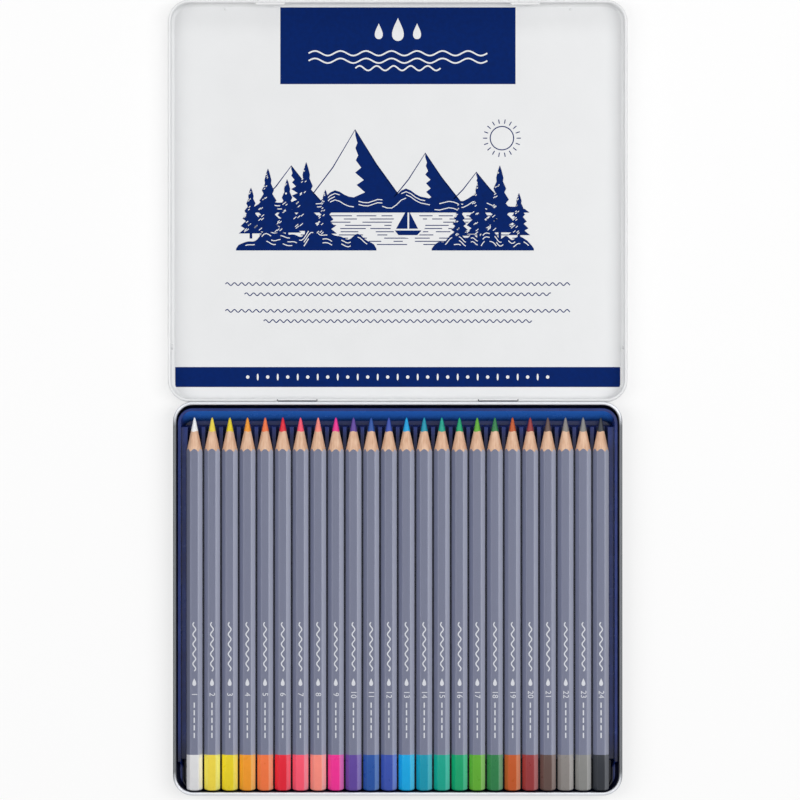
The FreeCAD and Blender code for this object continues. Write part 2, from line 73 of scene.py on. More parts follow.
# Painted highlight: a bright blue for the tray's rear slope where it faces the front
TRAY_SLOPE_PAINTED_HIGHLIGHT = (47, 110, 208)
# Painted shade: a dark navy for the tray's bed between the pencils
TRAY_BED_PAINTED_SHADE = (13, 24, 74)
# Painted shade: a near-black navy for the tray's front corners
TRAY_CORNER_PAINTED_SHADE = (13, 17, 46)
# Painted shade: a near-black navy for the tray where its surfaces stand close together
TRAY_NARROW_PAINTED_SHADE = (4, 8, 28)


def screen(colour):
    """A colour from screen values as the linear values that shaders take."""
    out = []
    for value in colour:
        value /= 255
        out.append(value / 12.92 if value <= 0.04045 else ((value + 0.055) / 1.055) ** 2.4)
    return (*out, 1.0)


def scaled(colour, factor):
    """A colour made lighter or darker by a factor."""
    return tuple(min(255, value * factor) for value in colour)


def paler(colour, share):
    """A colour led towards white by a share."""
    return tuple(value + (255 - value) * share for value in colour)


# Materials

COAT_ROUGHNESS = 0.08
NOISE_DETAIL = 4.0
RAMP_FROM, RAMP_TO = 0.3, 0.7
BUMP_HEIGHT = 0.1 * MM
BEVEL_SAMPLES = 6
OCCLUSION_SAMPLES = 8
OUTWARD_FROM, OUTWARD_TO = 20 * MM, 50 * MM


def material(name, low, high, scale=400.0, stretch=(1, 1, 1), rough=0.4, rough_span=0.08,
             metallic=0.0, coat=0.0, gloss=0.5, bump=0.0, soft=0.0):
    """A principled finish whose colour and roughness vary a little with noise in the object's frame.

    Soft is the radius, in millimetres, to which light finds sharp edges rounded.
    """
    made = bpy.data.materials.new(name)
    made.use_nodes = True
    nodes, links = made.node_tree.nodes, made.node_tree.links
    shader = nodes["Principled BSDF"]
    shader.inputs["Metallic"].default_value = metallic
    shader.inputs["Coat Weight"].default_value = coat
    shader.inputs["Specular IOR Level"].default_value = gloss
    shader.inputs["Coat Roughness"].default_value = COAT_ROUGHNESS
    place = nodes.new("ShaderNodeTexCoord")
    stretched = nodes.new("ShaderNodeMapping")
    stretched.inputs["Scale"].default_value = stretch
    noise = nodes.new("ShaderNodeTexNoise")
    noise.inputs["Scale"].default_value = scale
    noise.inputs["Detail"].default_value = NOISE_DETAIL
    ramp = nodes.new("ShaderNodeValToRGB")
    ramp.color_ramp.elements[0].position = RAMP_FROM
    ramp.color_ramp.elements[0].color = screen(low)
    ramp.color_ramp.elements[1].position = RAMP_TO
    ramp.color_ramp.elements[1].color = screen(high)
    spread = nodes.new("ShaderNodeMapRange")
    spread.inputs["To Min"].default_value = rough - rough_span
    spread.inputs["To Max"].default_value = rough + rough_span
    links.new(place.outputs["Object"], stretched.inputs["Vector"])
    links.new(stretched.outputs["Vector"], noise.inputs["Vector"])
    links.new(noise.outputs["Fac"], ramp.inputs["Fac"])
    links.new(noise.outputs["Fac"], spread.inputs["Value"])
    links.new(ramp.outputs["Color"], shader.inputs["Base Color"])
    links.new(spread.outputs["Result"], shader.inputs["Roughness"])
    raised = nodes.new("ShaderNodeBump")
    raised.inputs["Strength"].default_value = bump
    raised.inputs["Distance"].default_value = BUMP_HEIGHT
    links.new(noise.outputs["Fac"], raised.inputs["Height"])
    links.new(raised.outputs["Normal"], shader.inputs["Normal"])
    if soft:
        rounded = nodes.new("ShaderNodeBevel")
        rounded.samples = BEVEL_SAMPLES
        rounded.inputs["Radius"].default_value = soft * MM
        links.new(rounded.outputs["Normal"], raised.inputs["Normal"])
    return made


def blend(made, limits, colour, metallic=None):
    """Lead a finish over into another colour within limits.

    Each limit is the object's frame or its normals, the axis, and where on it the blend starts and ends.
    """
    nodes, links = made.node_tree.nodes, made.node_tree.links
    shader = nodes["Principled BSDF"]
    place = nodes.new("ShaderNodeTexCoord")
    total = None
    for space, axis, start, end in limits:
        split = nodes.new("ShaderNodeSeparateXYZ")
        share = nodes.new("ShaderNodeMapRange")
        share.inputs["From Min"].default_value = start
        share.inputs["From Max"].default_value = end
        links.new(place.outputs[space], split.inputs["Vector"])
        links.new(split.outputs[axis], share.inputs["Value"])
        reached = share.outputs["Result"]
        if total is not None:
            both = nodes.new("ShaderNodeMath")
            both.operation = "MULTIPLY"
            links.new(total, both.inputs[0])
            links.new(reached, both.inputs[1])
            reached = both.outputs["Value"]
        total = reached
    mix = nodes.new("ShaderNodeMixRGB")
    mix.inputs["Color2"].default_value = screen(colour)
    links.new(total, mix.inputs["Fac"])
    links.new(shader.inputs["Base Color"].links[0].from_socket, mix.inputs["Color1"])
    links.new(mix.outputs["Color"], shader.inputs["Base Color"])
    if metallic is not None:
        level = nodes.new("ShaderNodeMapRange")
        level.inputs["To Min"].default_value = shader.inputs["Metallic"].default_value
        level.inputs["To Max"].default_value = metallic
        links.new(total, level.inputs["Value"])
        links.new(level.outputs["Result"], shader.inputs["Metallic"])


def narrow(made, reach, low, high, colour):
    """Paint shade into a finish, leading it over into a dark colour where other surfaces stand within a reach
    in millimetres.

    Faces that look outwards keep their colour.
    """
    nodes, links = made.node_tree.nodes, made.node_tree.links
    shader = nodes["Principled BSDF"]
    room = nodes.new("ShaderNodeAmbientOcclusion")
    room.samples = OCCLUSION_SAMPLES
    room.inputs["Distance"].default_value = reach * MM
    share = nodes.new("ShaderNodeMapRange")
    share.inputs["From Min"].default_value = low
    share.inputs["From Max"].default_value = high
    place = nodes.new("ShaderNodeTexCoord")
    facing = nodes.new("ShaderNodeVectorMath")
    facing.operation = "DOT_PRODUCT"
    outward = nodes.new("ShaderNodeMapRange")
    outward.inputs["From Min"].default_value = OUTWARD_FROM
    outward.inputs["From Max"].default_value = OUTWARD_TO
    kept = nodes.new("ShaderNodeMath")
    kept.operation = "MAXIMUM"
    mix = nodes.new("ShaderNodeMixRGB")
    mix.inputs["Color1"].default_value = screen(colour)
    links.new(room.outputs["AO"], share.inputs["Value"])
    links.new(place.outputs["Normal"], facing.inputs[0])
    links.new(place.outputs["Object"], facing.inputs[1])
    links.new(facing.outputs["Value"], outward.inputs["Value"])
    links.new(share.outputs["Result"], kept.inputs[0])
    links.new(outward.outputs["Result"], kept.inputs[1])
    links.new(kept.outputs["Value"], mix.inputs["Fac"])
    links.new(shader.inputs["Base Color"].links[0].from_socket, mix.inputs["Color2"])
    links.new(mix.outputs["Color"], shader.inputs["Base Color"])


# Where on a piece a finish takes another tone; most of these tones are painted highlights and painted shade

SIDES = (1, -1)
# Painted highlights: flanks facing right and left are made lighter than the top, as if lamps light them
RIGHT_FLANK_PAINTED_HIGHLIGHT = [("Normal", "X", 0.15, 0.85)]
LEFT_FLANK_PAINTED_HIGHLIGHT = [("Normal", "X", -0.15, -0.85)]
RIM_LEVEL = ("Object", "Z", 6.5 * MM, 7.5 * MM)
# Painted shade: the side rims of the tin made darker, as they catch less light
SIDE_RIMS_PAINTED_SHADE = [[("Object", "X", side * 101 * MM, side * 103 * MM), RIM_LEVEL] for side in SIDES]
# Painted highlight: the front and rear rims of the tin made paler, as they catch the light
END_RIMS_PAINTED_HIGHLIGHT = [[("Object", "Y", side * 81 * MM, side * 89 * MM), RIM_LEVEL] for side in SIDES]
TONGUES = [("Object", "Y", 92.0 * MM, 92.4 * MM)]
# Painted highlight: the tray's rear slope made bright blue, as it catches the light
REAR_SLOPE_PAINTED_HIGHLIGHT = [("Normal", "Y", -0.35, -0.8), ("Object", "Y", 70 * MM, 75 * MM)]
# Painted shade: the bed between and under the pencils made darker, where the pencils shade it
BED_PAINTED_SHADE = [
    ("Object", "Y", 80 * MM, 75 * MM),
    ("Object", "X", -99 * MM, -97.5 * MM),
    ("Object", "X", 99 * MM, 97.5 * MM),
]
# Painted shade: the side strips of the tray made darker towards the front corners, where shade falls
FRONT_CORNERS_PAINTED_SHADE = [
    [
        ("Object", "Y", -62 * MM, -76 * MM),
        ("Object", "X", side * 97.5 * MM, side * 99 * MM),
        ("Normal", "Z", 0.5, 0.9),
    ]
    for side in SIDES
]

white_lacquer = material("white_lacquer", scaled(WHITE, 0.993), WHITE, scale=60, rough=0.32, coat=0.25,
                         soft=0.5)
tinplate = material("tinplate", *TIN, scale=60, stretch=(1, 1, 4), rough=0.4, rough_span=0.05, metallic=0.85,
                    soft=0.4)
steel_wire = material("steel_wire", *WIRE, scale=600, stretch=(0.1, 1, 1), rough=0.3, rough_span=0.1,
                      metallic=1.0)
# Painted shade on the tin's side rims
for limits in SIDE_RIMS_PAINTED_SHADE:
    blend(tinplate, limits, TIN_SIDE_RIM_PAINTED_SHADE)
# Painted highlight on the tin's front and rear rims
for limits in END_RIMS_PAINTED_HIGHLIGHT:
    blend(tinplate, limits, TIN_END_RIM_PAINTED_HIGHLIGHT)
blend(tinplate, TONGUES, WHITE, metallic=0.0)
tray_navy = material("tray_navy", *TRAY, scale=90, rough=0.26, coat=0.1, gloss=0.25, bump=0.05, soft=0.4)
# Painted highlight on the tray's rear slope
blend(tray_navy, REAR_SLOPE_PAINTED_HIGHLIGHT, TRAY_SLOPE_PAINTED_HIGHLIGHT)
# Painted shade on the tray's bed between the pencils
blend(tray_navy, BED_PAINTED_SHADE, TRAY_BED_PAINTED_SHADE)
# Painted shade on the tray's front corners
for limits in FRONT_CORNERS_PAINTED_SHADE:
    blend(tray_navy, limits, TRAY_CORNER_PAINTED_SHADE)
# Painted shade in the narrow places of the tray and the tin
narrow(tray_navy, 7.0, 0.2, 0.7, TRAY_NARROW_PAINTED_SHADE)
narrow(tinplate, 8.0, 0.25, 0.65, TIN_NARROW_PAINTED_SHADE)
print_navy = material("print_navy", scaled(NAVY, 0.95), scaled(NAVY, 1.06), scale=500, rough=0.5, gloss=0.05)
print_white = material("print_white", scaled(WHITE, 0.99), WHITE, scale=300, rough=0.36)
foil = material("foil", scaled(FOIL, 0.96), FOIL, scale=2500, rough=0.3)
cedar = material("cedar", *CEDAR, scale=700, stretch=(1.6, 0.12, 1.6), rough=0.62, rough_span=0.08, bump=0.12)
lacquer = material("lacquer", scaled(LACQUER, 0.98), scaled(LACQUER, 1.03), scale=3000, rough=0.36,
                   metallic=0.1, coat=0.06, gloss=0.25)
# Painted highlights: the lacquer's right and left flanks made lighter than its top
blend(lacquer, RIGHT_FLANK_PAINTED_HIGHLIGHT, LACQUER_PAINTED_HIGHLIGHT)
blend(lacquer, LEFT_FLANK_PAINTED_HIGHLIGHT, scaled(LACQUER, 1.12))
dips = []
leads = []
for index, colour in enumerate(DIPS, start=1):
    dips.append(material(f"dip_{index:02d}", scaled(colour, 0.99), scaled(colour, 1.01), scale=300, rough=0.3,
                         coat=0.1, gloss=0.25))
    # Painted highlights: each dip's right and left flanks made paler than its top
    blend(dips[-1], RIGHT_FLANK_PAINTED_HIGHLIGHT, paler(scaled(colour, 1.2), 0.38))
    blend(dips[-1], LEFT_FLANK_PAINTED_HIGHLIGHT, paler(scaled(colour, 1.1), 0.06))
    core = WHITE_LEAD if index == 1 else colour
    leads.append(material(f"lead_{index:02d}", scaled(core, 0.92), scaled(core, 1.03), scale=2600,
                          stretch=(1, 0.25, 1), rough=0.5, bump=0.15))

for node, finish in (
    ("base_tin", tinplate),
    ("lid_tin", white_lacquer),
    ("hinge_wire_left", steel_wire),
    ("hinge_wire_right", steel_wire),
    ("tray", tray_navy),
):
    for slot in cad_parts[node].material_slots:
        slot.material = finish


def piece(name, points, faces, finishes, body, smooth=True, sharp=()):
    """A mesh in the row frame that rides on a body. A face is its points, then the number of its finish.

    Sharp lists runs of points whose joining edges aren't smoothed over.
    """
    mesh = bpy.data.meshes.new(name)
    mesh.from_pydata(points, [], [face[0] for face in faces])
    for finish in finishes:
        mesh.materials.append(finish)
    for polygon, face in zip(mesh.polygons, faces):
        polygon.material_index = face[1]
        polygon.use_smooth = smooth
    for edge in mesh.edges:
        edge.use_edge_sharp = any(edge.vertices[0] in run and edge.vertices[1] in run for run in sharp)
    mesh.update()
    made = bpy.data.objects.new(name, mesh)
    bpy.context.scene.collection.objects.link(made)
    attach(made, body)
    return made


# Pencils

FLATS = 6.7 * MM
CORNER_ROUND = 0.9 * MM
CORNER_STEPS = 4
LEAD_RADIUS = 1.65 * MM
TIP_RADIUS = 0.4 * MM
CONE_LENGTH = 14.7 * MM
DIP_LENGTH = 17.1 * MM
# Rings of the domed end: share of the full section, and share of the rise
DOME_RISE = 1.1 * MM
DOME_RINGS = ((0.45, 0.1), (0.72, 0.3), (0.9, 0.58), (1.0, 1.0))
# The edge of the lacquer shows a share of a true cone's scallops, and leans a little, in millimetres
SCALLOP = 0.62
LEAN_FROM, LEAN_TO = 0.06, 0.2
# The edge of the wood, round the lead
WOOD_END_RADIUS = LEAD_RADIUS + 0.05 * MM
WOOD_RAGGED = 0.18 * MM
# The lead starts inside the wood, and its last stretch runs to a finer tip
LEAD_SIDES = 24
LEAD_INSIDE = 1.2 * MM
TIP_LENGTH = 1.2 * MM
TIP_ROUND = 0.1 * MM


def hexagon():
    """Points round a six-sided section with rounded corners, as (x, z), flats up and down."""
    points = []
    reach = (FLATS / 2 - CORNER_ROUND) / math.cos(math.radians(30))
    for corner in range(6):
        middle = math.radians(60 * corner)
        for step in range(CORNER_STEPS + 1):
            turn = middle + math.radians(60 * (step / CORNER_STEPS - 0.5))
            x = reach * math.cos(middle) + CORNER_ROUND * math.cos(turn)
            z = reach * math.sin(middle) + CORNER_ROUND * math.sin(turn)
            points.append((x, z))
        following = math.radians(60 * corner + 60)
        first = points[-1]
        last = (reach * math.cos(following) + CORNER_ROUND * math.cos(middle + math.radians(30)),
                reach * math.sin(following) + CORNER_ROUND * math.sin(middle + math.radians(30)))
        for share in (0.25, 0.5, 0.75):
            points.append((first[0] + (last[0] - first[0]) * share,
                           first[1] + (last[1] - first[1]) * share))
    return points


SECTION = hexagon()


def rings_to_faces(faces, first, second, count, finish):
    """Faces between two rings of points, the second further along +Y."""
    for step in range(count):
        after = (step + 1) % count
        faces.append(((first + after, first + step, second + step, second + after), finish))


def pencil(number):
    """Barrel and lead of one pencil, on the places of its solids."""
    low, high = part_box(f"pencil_{number:02d}_barrel")
    tip_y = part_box(f"pencil_{number:02d}_lead")[1].y
    x, z = (low.x + high.x) / 2, (low.z + high.z) / 2
    end_y = low.y
    slope = CONE_LENGTH / (FLATS / 2 - TIP_RADIUS)
    draws = random.Random(number)
    lean, phase = draws.uniform(LEAN_FROM, LEAN_TO) * MM, draws.uniform(0, math.tau)
    body = f"pencil_{number:02d}"
    count = len(SECTION)

    points, faces = [], []
    for share, back in DOME_RINGS:
        points += [(x + px * share, end_y + DOME_RISE * back, z + pz * share) for px, pz in SECTION]
    points += [(x + px, end_y + DIP_LENGTH, z + pz) for px, pz in SECTION]
    for px, pz in SECTION:
        away = FLATS / 2 + SCALLOP * (math.hypot(px, pz) - FLATS / 2)
        turn = math.atan2(pz, px)
        y = tip_y - slope * (away - TIP_RADIUS) + lean * math.sin(turn + phase)
        points.append((x + px, y, z + pz))
    wood_y = tip_y - slope * (WOOD_END_RADIUS - TIP_RADIUS)
    for px, pz in SECTION:
        away = math.hypot(px, pz)
        turn = math.atan2(pz, px)
        ragged = WOOD_RAGGED * math.sin(3 * turn + phase)
        points.append((x + px / away * WOOD_END_RADIUS, wood_y + ragged, z + pz / away * WOOD_END_RADIUS))
    middle = len(points)
    points += [(x, end_y, z), (x, wood_y, z)]
    dip_end = len(DOME_RINGS) * count
    lacquer_end, wood_end = dip_end + count, dip_end + 2 * count
    for step in range(count):
        after = (step + 1) % count
        faces.append(((middle, step, after), 1))
        faces.append(((middle + 1, wood_end + after, wood_end + step), 2))
    for ring in range(0, dip_end, count):
        rings_to_faces(faces, ring, ring + count, count, 1)
    rings_to_faces(faces, dip_end, lacquer_end, count, 0)
    rings_to_faces(faces, lacquer_end, wood_end, count, 2)
    edges = (range(lacquer_end, wood_end), range(wood_end, middle))
    barrel = piece(f"barrel_{number:02d}", points, faces, [lacquer, dips[number - 1], cedar], body,
                   sharp=edges)
    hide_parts(f"pencil_{number:02d}_barrel")

    points, faces = [], []
    core = [
        (wood_y - LEAD_INSIDE, LEAD_RADIUS),
        (tip_y - slope * (LEAD_RADIUS - TIP_RADIUS), LEAD_RADIUS),
        (tip_y - TIP_LENGTH, TIP_RADIUS + TIP_LENGTH / slope),
        (tip_y - TIP_ROUND, TIP_RADIUS * 0.6),
        (tip_y, TIP_RADIUS * 0.3),
    ]
    for y, radius in core:
        for step in range(LEAD_SIDES):
            turn = math.tau * step / LEAD_SIDES
            points.append((x + radius * math.cos(turn), y, z + radius * math.sin(turn)))
    last = (len(core) - 1) * LEAD_SIDES
    for ring in range(0, last, LEAD_SIDES):
        rings_to_faces(faces, ring, ring + LEAD_SIDES, LEAD_SIDES, 0)
    faces.append((tuple(reversed(range(last, last + LEAD_SIDES))), 0))
    faces.append((tuple(range(LEAD_SIDES)), 0))
    point = piece(f"point_{number:02d}", points, faces, [leads[number - 1]], body)
    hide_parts(f"pencil_{number:02d}_lead")


# Flat print


def ribbon(path, width):
    """Outlines of the short pieces of a line along a path."""
    sides = []
    for index, (x, y) in enumerate(path):
        before = path[max(index - 1, 0)]
        after = path[min(index + 1, len(path) - 1)]
        run, rise = after[0] - before[0], after[1] - before[1]
        share = width / 2 / math.hypot(run, rise)
        sides.append(((x - rise * share, y + run * share), (x + rise * share, y - run * share)))
    return [[a, b, d, c] for (a, b), (c, d) in zip(sides, sides[1:])]


def wave(start, end, y, height, length, width):
    """A wavy line along X, by its height, the length of a wave and the width of the line."""
    steps = max(8, round((end - start) / length * 12))
    path = []
    for step in range(steps + 1):
        x = start + (end - start) * step / steps
        path.append((x, y + height / 2 * math.sin(math.tau * (x - start) / length)))
    return ribbon(path, width)


def ellipse(x, y, across, high, steps=20):
    """An ellipse's outline."""
    turns = [math.tau * step / steps for step in range(steps)]
    return [(x + across / 2 * math.cos(turn), y + high / 2 * math.sin(turn)) for turn in turns]


def drop(x, y, high, steps=20):
    """A water drop's outline, point up, about its middle."""
    outline = []
    for step in range(steps):
        turn = math.tau * step / steps
        across = 0.36 * high * math.sin(turn) * math.sin(turn / 2) ** 1.5
        outline.append((x + across, y + high / 2 * math.cos(turn)))
    return outline


def upward(outline):
    """The outline in the order that makes its face look up."""
    area = 0
    for a, b in zip(outline, outline[1:] + outline[:1]):
        area += a[0] * b[1] - b[0] * a[1]
    return outline if area > 0 else outline[::-1]


def printed(name, outlines, place, finish, body, step=0.0):
    """Outlines in millimetres as one flat piece. Place gives a point in the row frame for each (x, y).

    Outlines that overlap lie a step above each other.
    """
    points, faces = [], []
    for index, outline in enumerate(outlines):
        first = len(points)
        for x, y, z in upward([place(*point) for point in outline]):
            points.append((x, y, z + index * step * MM))
        faces.append((tuple(range(first, len(points))), 0))
    return piece(name, points, faces, [finish], body, smooth=False)


# Imprint on each pencil: a wave line, a drop, the pencil's number and a row of dashes

IMPRINT_RISE = 0.02
WAVE_FROM, WAVE_TO = 56.3, 79.2
IMPRINT_WAVE = (1.3, 4.6, 0.55)
DROP_AT = 51.2
DROP_SIZE = 3.6
FIGURES_AT = 45.4
FIGURE_SIZE = 3.7
DASHES_FROM, DASHES_TO = 25.0, 41.6
DASHES = 5
DASH_GAP = 1.1
DASH_WIDTH = 0.6


def figures(value, size):
    """Outlines of a plain number, about its middle."""
    curve = bpy.data.curves.new("figures", "FONT")
    curve.body = str(value)
    curve.size = size
    curve.align_x = "CENTER"
    curve.align_y = "CENTER"
    written = bpy.data.objects.new("figures", curve)
    bpy.context.scene.collection.objects.link(written)
    bpy.context.view_layer.update()
    shaped = written.evaluated_get(bpy.context.evaluated_depsgraph_get())
    mesh = bpy.data.meshes.new_from_object(shaped)
    outlines = []
    for polygon in mesh.polygons:
        outlines.append([tuple(mesh.vertices[corner].co[:2]) for corner in polygon.vertices])
    bpy.data.objects.remove(written)
    bpy.data.curves.remove(curve)
    bpy.data.meshes.remove(mesh)
    return outlines


def imprint(number):
    """Foil on the top flat of one pencil, read from its tip towards its end."""
    low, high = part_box(f"pencil_{number:02d}_barrel")
    x = (low.x + high.x) / 2

    def place(along, across):
        return (x + across * MM, low.y + along * MM, high.z + IMPRINT_RISE * MM)

    outlines = wave(WAVE_FROM, WAVE_TO, 0, *IMPRINT_WAVE)
    outlines.append([(along, across) for across, along in drop(0, DROP_AT, DROP_SIZE)])
    for outline in figures(number, FIGURE_SIZE):
        outlines.append([(FIGURES_AT - along, across) for along, across in outline])
    pitch = (DASHES_TO - DASHES_FROM + DASH_GAP) / DASHES
    for dash in range(DASHES):
        start = DASHES_FROM + dash * pitch
        outlines += ribbon([(start, 0), (start + pitch - DASH_GAP, 0)], DASH_WIDTH)
    printed(f"imprint_{number:02d}", outlines, place, foil, f"pencil_{number:02d}")


for number in range(1, PENCILS + 1):
    pencil(number)
    imprint(number)

# Lid print, in millimetres from the middle of the lid's rear edge

lid_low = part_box("lid_tin")[0]
PANEL_FACE = 0.3
FAR, HILLS, GAPS, NEAR, STROKES = 0.02, 0.04, 0.06, 0.08, 0.2
NEAR_STEP = 0.007
BANNER = (-55.2, 55.4, 149.4, 185.5)
BAND = (-104.6, 104.6, 7.0, 16.4)
BAND_MARKS = 31
BAND_MARK_SPACING = 4.7
BANNER_DROPS_RISE = 23
BANNER_DROPS = ((0, 11), (-9, 7.5), (9, 7.5))
BANNER_WAVES = ((14.5, 42, 12), (11, 42, 12), (7.5, 20, 8))
BANNER_WAVE_HEIGHT, BANNER_WAVE_WIDTH = 2.2, 0.7
RULES = ((38.0, 63), (42.8, 81), (50.6, 72), (55.4, 81))
RULE_WAVE = (1.3, 3.4, 0.46)
LANDSCAPE_SEED = 7
FINE_LINE = 0.42
SHORE = 72
WATERLINE = 89
WATER_FROM, WATER_TO, WATER_ROWS = -68, 58, 10
WATER_PITCH = 1.5
SUN = (49, 124)
SUN_ACROSS = 11
SUN_RAYS = 18
RAY_FROM, RAY_TO = 6.9, 8.9
BOAT = (5, 80)
# Peaks: place, height and half width
PEAKS = ((-50, 20, 17), (-20, 37, 25), (13, 26, 19), (37, 17, 15))
HILLS_FROM, HILLS_TO = -72, 62
# Banks: ends, rise, and the place and height of each pine
BANKS = (
    (-76, -10, 8, ((-69, 24), (-34, 23), (-61, 33), (-43, 36), (-52, 28))),
    (16, 64, 7, ((29, 19), (57, 22), (38, 28), (48, 35))),
)
PINE_TIERS = 6
PINE_REACH = 0.22
PINE_CROWN = 0.88


def on_lid(rise):
    """Places on the lid's panel, at the given height of the print."""
    height = lid_low.z + (PANEL_FACE + rise) * MM
    return lambda x, y: (x * MM, lid_low.y + y * MM, height)


def field(box):
    """The outline of an upright box."""
    left, right, low, high = box
    return [(left, low), (right, low), (right, high), (left, high)]


def hills(left, right, low, rise, bumps, draws):
    """The top edge of a row of hills, from left to right."""
    phases = [draws.uniform(0, math.tau) for _ in range(3)]
    edge = []
    steps = 60
    for step in range(steps + 1):
        share = step / steps
        sway = 0
        for turn, phase in enumerate(phases, start=1):
            sway += math.sin(math.tau * bumps * turn * share + phase) / (turn + 0.4)
        height = rise * math.sin(math.pi * share) ** 0.5 * (1 + 0.32 * sway)
        edge.append((left + (right - left) * share, low + height))
    return edge


def contours(edge, falls, length, draws):
    """Strokes that follow a hill's edge at some falls below it."""
    strokes = []
    floor = edge[0][1] + 0.6
    for fall in falls:
        first = draws.randrange(3, 9)
        while first < len(edge) - 4:
            path = [(x, y - fall) for x, y in edge[first:first + length] if y - fall > floor]
            if len(path) > 2:
                strokes += ribbon(path, FINE_LINE)
            first += length + draws.randrange(2, 6)
    return strokes


def pine(x, foot, high):
    """A pine's outline: tiers of boughs on a short trunk."""
    trunk = 0.6
    side = [(trunk, foot), (trunk, foot + high * 0.1)]
    for tier in range(PINE_TIERS):
        reach = high * PINE_REACH * (1 - tier / PINE_TIERS) + 0.4
        side.append((reach, foot + high * (0.1 + PINE_CROWN * tier / PINE_TIERS)))
        side.append((reach * 0.5, foot + high * (0.1 + PINE_CROWN * (tier + 0.66) / PINE_TIERS)))
    right = [(x + across, y) for across, y in side]
    left = [(x - across, y) for across, y in reversed(side)]
    return right + [(x, foot + high)] + left


def bough_strokes(x, foot, high, draws):
    """Pale strokes on the lit side of a pine."""
    strokes = []
    for tier in range(PINE_TIERS):
        reach = high * PINE_REACH * (1 - tier / PINE_TIERS)
        for _ in range(3):
            start = x + reach * draws.uniform(-0.75, 0.05)
            y = foot + high * (0.15 + PINE_CROWN * tier / PINE_TIERS + draws.uniform(-0.02, 0.05))
            length = 0.2 * reach + 0.5
            strokes += ribbon([(start, y), (start - length * 0.7, y - length * 0.6)], 0.36)
    return strokes


def peak(x, low, high, half, draws):
    """A mountain: its outline, and the shade on its right side."""
    left_knee = (x - half * 0.42, low + high * 0.52)
    right_knee = (x + half * 0.4, low + high * 0.56)
    line = ribbon([(x - half, low), left_knee, (x, low + high), right_knee, (x + half, low)], 0.5)
    shade = [(x, low + high), right_knee, (x + half, low), (x + half * 0.3, low)]
    teeth = 6
    for tooth in range(teeth):
        out, back = draws.uniform(0.16, 0.26), draws.uniform(-0.04, 0.04)
        for across, rise in ((out, tooth + 0.3), (back, tooth + 0.9)):
            shade.append((x + half * across * (1 - tooth / teeth), low + high * 0.94 * rise / teeth))
    return line + [shade]


def water(left, right, rows, draws):
    """Broken level lines below the waterline."""
    lines = []
    for row in range(rows):
        y = WATERLINE - WATER_PITCH - WATER_PITCH * row
        x = left + draws.uniform(0, 8)
        while x < right - 4:
            end = min(x + draws.uniform(4, 16), right)
            lines += ribbon([(x, y), (end, y)], FINE_LINE)
            x = end + draws.uniform(2, 9)
    return lines


def sun():
    """A ring with short rays."""
    x, y = SUN
    ring = ellipse(x, y, SUN_ACROSS, SUN_ACROSS, 40)
    lines = ribbon(ring + ring[:1], 0.5)
    for ray in range(SUN_RAYS):
        turn = math.tau * ray / SUN_RAYS
        path = [(x + reach * math.cos(turn), y + reach * math.sin(turn)) for reach in (RAY_FROM, RAY_TO)]
        lines += ribbon(path, 0.45)
    return lines


def boat():
    """Two sails and a hull."""
    x, y = BOAT
    return [
        [(x - 0.4, y + 1.4), (x - 0.4, y + 11), (x - 5.8, y + 1.4)],
        [(x + 0.4, y + 1.4), (x + 0.4, y + 9.6), (x + 4.6, y + 1.4)],
        [(x - 6.4, y + 0.6), (x + 6.2, y + 0.6), (x + 4.2, y - 1.6), (x - 4.6, y - 1.6)],
    ]


def landscape():
    """A lake with a boat between pine banks, below hills, peaks and a low sun, as layers of outlines."""
    draws = random.Random(LANDSCAPE_SEED)
    far = sun() + water(WATER_FROM, WATER_TO, WATER_ROWS, draws)
    for x, high, half in PEAKS:
        far += peak(x, WATERLINE + 2, high, half, draws)
    edge = hills(HILLS_FROM, HILLS_TO, WATERLINE, 8, 4, draws)
    ground = [edge + [(HILLS_TO, WATERLINE), (HILLS_FROM, WATERLINE)]]
    gaps = contours(edge, (1.5, 3.0, 4.5), 6, draws)
    gaps.append(ellipse(BOAT[0], BOAT[1] + 3, 16, 12))
    near, strokes = boat(), []
    for left, right, rise, trees in BANKS:
        edge = hills(left, right, SHORE, rise, 3, draws)
        near.append(edge + [(right, SHORE - 0.8), (left, SHORE - 0.8)])
        strokes += contours(edge, (1.6, 3.4, 5.2), 5, draws)
        for x, high in trees:
            near.append(pine(x, SHORE + rise * 0.6, high))
            strokes += bough_strokes(x, SHORE + rise * 0.6, high, draws)
    return far, ground, gaps, near, strokes


def lid_print():
    """All print on the lid, in one piece for each height."""
    far, ground, gaps, near, strokes = landscape()
    fields = [field(BANNER), field(BAND)]
    for y, half in RULES:
        fields += wave(-half, half, y, *RULE_WAVE)
    marks = []
    for mark in range(BAND_MARKS):
        x = (mark - (BAND_MARKS - 1) / 2) * BAND_MARK_SPACING
        high = 3.2 if mark % 2 else 1.6
        marks.append(ellipse(x, (BAND[2] + BAND[3]) / 2, 0.9 if mark % 2 else 1.6, high))
    middle = (BANNER[0] + BANNER[1]) / 2
    for x, high in BANNER_DROPS:
        marks.append(drop(middle + x, BANNER[2] + BANNER_DROPS_RISE + high / 4, high))
    for rise, half, length in BANNER_WAVES:
        marks += wave(middle - half, middle + half, BANNER[2] + rise, BANNER_WAVE_HEIGHT, length,
                      BANNER_WAVE_WIDTH)
    for name, outlines, rise, step, finish in (
        ("lid_print_fields", fields + far, FAR, 0, print_navy),
        ("lid_print_hills", ground, HILLS, 0, print_navy),
        ("lid_print_gaps", marks + gaps, GAPS, 0, print_white),
        ("lid_print_near", near, NEAR, NEAR_STEP, print_navy),
        ("lid_print_strokes", strokes, STROKES, 0, print_white),
    ):
        printed(name, outlines, on_lid(rise), finish, "lid", step)


lid_print()

# Camera: straight down on the open tin, through a long lens

